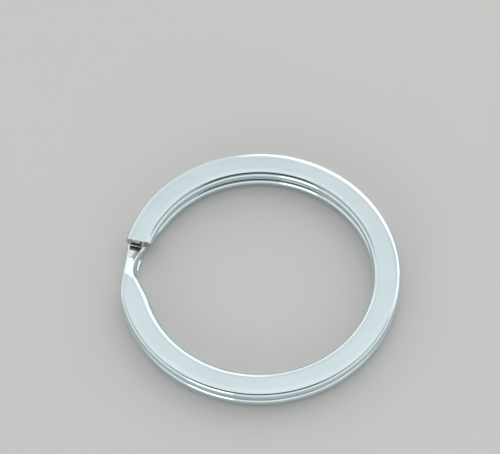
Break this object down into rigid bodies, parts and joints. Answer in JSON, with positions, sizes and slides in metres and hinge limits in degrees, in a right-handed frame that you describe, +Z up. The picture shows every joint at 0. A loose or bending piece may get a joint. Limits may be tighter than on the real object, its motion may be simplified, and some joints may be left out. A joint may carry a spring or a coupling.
{
  "type": "split jump ring",
  "caption": "Flat split ring: one strip of flattened wire wound twice round, with a cut end and a narrowed crossover, that threads through an eye or hole.",
  "frame": {"origin": "centre of the ring, on the face that it lies on", "axes": "+Z up through the ring's hole; -X towards the crossover; -Y towards the viewer of the picture"},
  "size_m": [0.0298, 0.03, 0.0025],
  "materials": {
    "nickel_plate": "polished nickel plate on steel, with faint handling marks"
  },
  "bodies": {
    "root": {"split_ring": "nickel_plate"}
  },
  "joints": []
}
